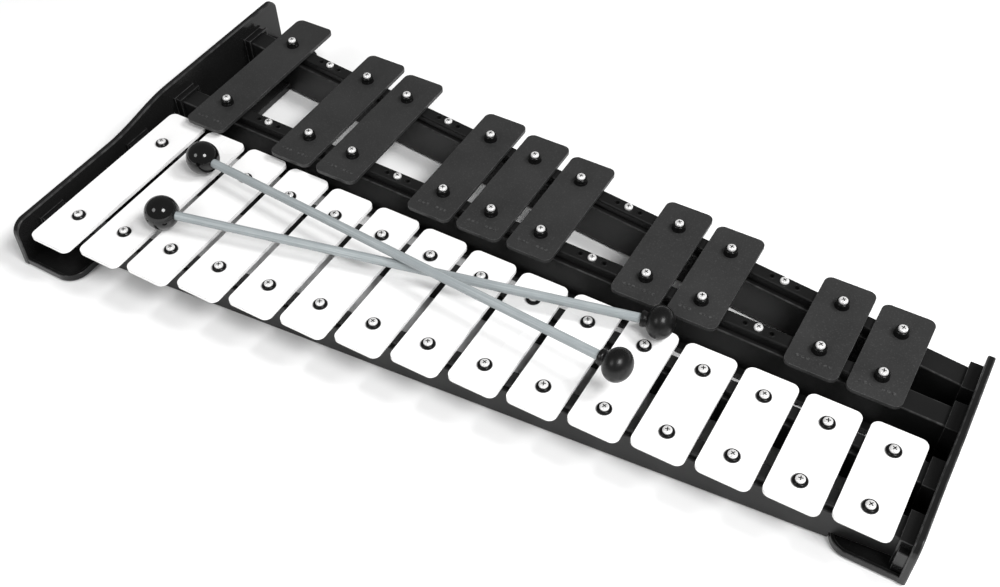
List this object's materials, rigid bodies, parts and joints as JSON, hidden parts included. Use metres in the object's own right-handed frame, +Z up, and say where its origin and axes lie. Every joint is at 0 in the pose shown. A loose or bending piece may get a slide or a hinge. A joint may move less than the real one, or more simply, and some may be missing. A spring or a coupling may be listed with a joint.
{
  "type": "xylophone",
  "caption": "Two-row chromatic bar instrument with white natural bars, raised black sharp bars, tapered rails, moulded end casings and a pair of ball-headed mallets.",
  "frame": {"origin": "on the table, at the centre of the footprint", "axes": "+X from the long low bars to the short high bars, -Y towards the player, +Z up"},
  "size_m": [0.454, 0.218, 0.0511],
  "materials": {
    "white_bar": "white gloss paint on steel",
    "black_bar": "satin black paint on steel",
    "casing": "moulded, glossy inside and fine-textured outside",
    "rail": "satin moulded",
    "strip": "matte soft plastic with moulded sleeves",
    "foot": "matte",
    "screw": "polished pan head",
    "ball": "polished hard ball",
    "shaft": "pale grey, lightly fluted",
    "grip": "matte"
  },
  "bodies": {
    "instrument": {"bar_a5": "white_bar", "bar_a6": "white_bar", "bar_a7": "white_bar", "bar_a_sharp5": "black_bar", "bar_a_sharp6": "black_bar", "bar_b5": "white_bar", "bar_b6": "white_bar", "bar_c6": "white_bar", "bar_c7": "white_bar", "bar_c_sharp6": "black_bar", "bar_c_sharp7": "black_bar", "bar_d6": "white_bar", "bar_d7": "white_bar", "bar_d_sharp6": "black_bar", "bar_d_sharp7": "black_bar", "bar_e6": "white_bar", "bar_e7": "white_bar", "bar_f6": "white_bar", "bar_f7": "white_bar", "bar_f_sharp6": "black_bar", "bar_f_sharp7": "black_bar", "bar_g6": "white_bar", "bar_g7": "white_bar", "bar_g_sharp6": "black_bar", "bar_g_sharp7": "black_bar", "casing_screw_left_natural_front": "screw", "casing_screw_left_sharp_rear": "screw", "casing_screw_right_natural_front": "screw", "casing_screw_right_sharp_rear": "screw", "foot_left_front": "foot", "foot_left_rear": "foot", "foot_right_front": "foot", "foot_right_rear": "foot", "left_casing": "casing", "natural_front_rail": "rail", "natural_front_strip": "strip", "natural_rear_rail": "rail", "natural_rear_strip": "strip", "right_casing": "casing", "sharp_front_rail": "rail", "sharp_front_strip": "strip", "sharp_rear_rail": "rail", "sharp_rear_strip": "strip", "strip_screw_front_1": "screw", "strip_screw_front_2": "screw", "strip_screw_front_3": "screw", "strip_screw_front_4": "screw", "strip_screw_rear_1": "screw", "strip_screw_rear_2": "screw", "strip_screw_rear_3": "screw", "strip_screw_rear_4": "screw"},
    "mallet_lower": {"mallet_lower_head": "ball", "mallet_lower_shaft": "shaft", "mallet_lower_knob": "grip"},
    "mallet_upper": {"mallet_upper_head": "ball", "mallet_upper_shaft": "shaft", "mallet_upper_knob": "grip"}
  },
  "joints": [
    {"name": "lift_lower_mallet", "type": "slide", "parent": "instrument", "child": "mallet_lower", "axis": [0, 0, 1], "range_m": [0, 0.12]},
    {"name": "lift_upper_mallet", "type": "slide", "parent": "mallet_lower", "child": "mallet_upper", "axis": [0, 0, 1], "range_m": [0, 0.12]}
  ]
}
